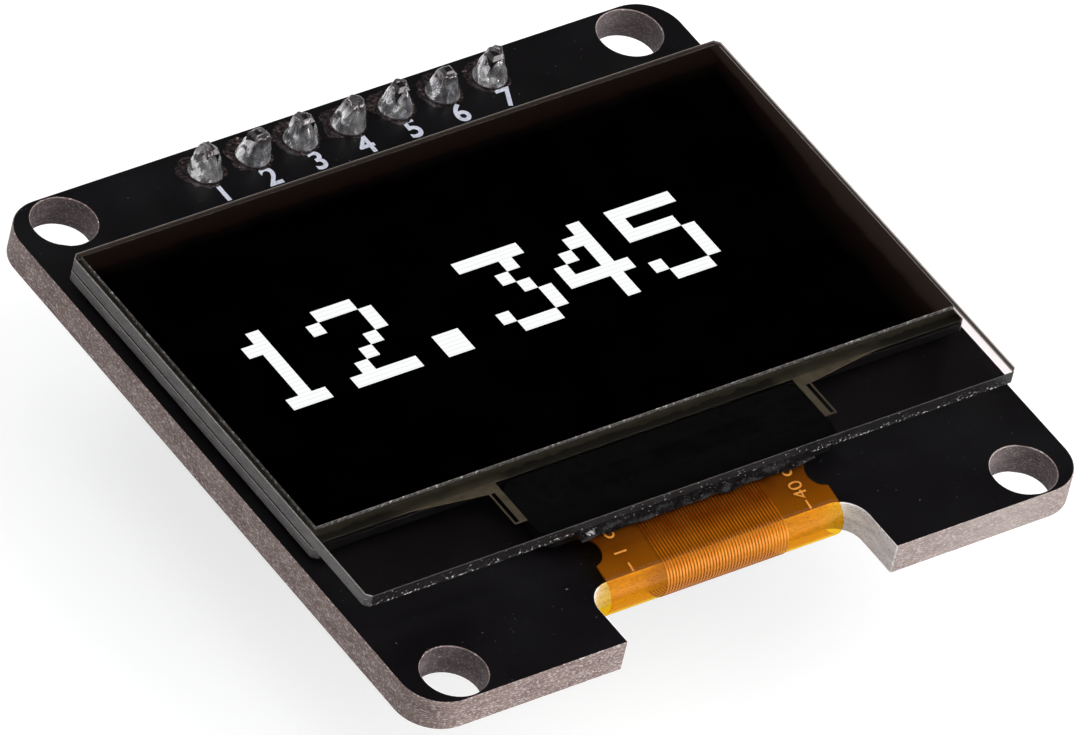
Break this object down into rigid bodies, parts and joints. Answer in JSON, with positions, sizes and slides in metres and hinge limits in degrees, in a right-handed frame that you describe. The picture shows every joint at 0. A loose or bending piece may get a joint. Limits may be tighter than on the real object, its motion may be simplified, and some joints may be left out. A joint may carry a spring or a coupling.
{
  "type": "oled display module",
  "caption": "Small monochrome display: a black glass panel taped to a square black circuit board, with an amber flat cable folded round its edge and a row of header pins behind.",
  "frame": {"origin": "centre of the four mounting holes, on the board's back face", "axes": "+Z out of the screen, +X along the pin row, +Y towards the header edge"},
  "size_m": [0.0354, 0.0336, 0.0119],
  "materials": {
    "solder_mask": "semi-gloss black",
    "gold_plate": "bright",
    "header_plastic": "matt black",
    "pin_metal": "bright",
    "solder": "bright, uneven",
    "foam_tape": "matt",
    "plate_glass": "polished",
    "absorber": "matt white",
    "seal_resin": "matt",
    "emitter_layers": "gloss",
    "thin_metal": "satin",
    "polariser_film": "gloss black",
    "silicon": "polished",
    "black_cover": "matt black",
    "clear_resin": "gloss",
    "bond_adhesive": "matt",
    "amber_film": "gloss amber",
    "copper_tracks": "bright",
    "capacitor_ceramic": "satin",
    "tin_plate": "satin",
    "resistor_ceramic": "matt white",
    "resistor_coat": "satin black",
    "moulding_compound": "matt black"
  },
  "bodies": {
    "root": {"board": "solder_mask", "header_sleeves": "gold_plate", "header_body": "header_plastic", "header_pins": "pin_metal", "header_joints": "solder", "mounting_tape": "foam_tape", "rear_glass": "plate_glass", "getter_sheet": "absorber", "seal_bead": "seal_resin", "emitter_film": "emitter_layers", "metal_film": "thin_metal", "front_glass": "plate_glass", "polariser": "polariser_film", "driver_chip": "silicon", "chip_cover": "black_cover", "edge_resin": "clear_resin", "bond_film": "bond_adhesive", "cable_film": "amber_film", "cable_tracks": "copper_tracks", "cable_lands": "gold_plate", "cable_joints": "solder", "part_lands": "gold_plate", "capacitor_bodies": "capacitor_ceramic", "capacitor_ends": "tin_plate", "resistor_bodies": "resistor_ceramic", "resistor_coats": "resistor_coat", "resistor_ends": "tin_plate", "part_joints": "solder", "regulator_body": "moulding_compound", "regulator_leads": "tin_plate", "diode_body": "moulding_compound", "diode_leads": "tin_plate"}
  },
  "joints": []
}
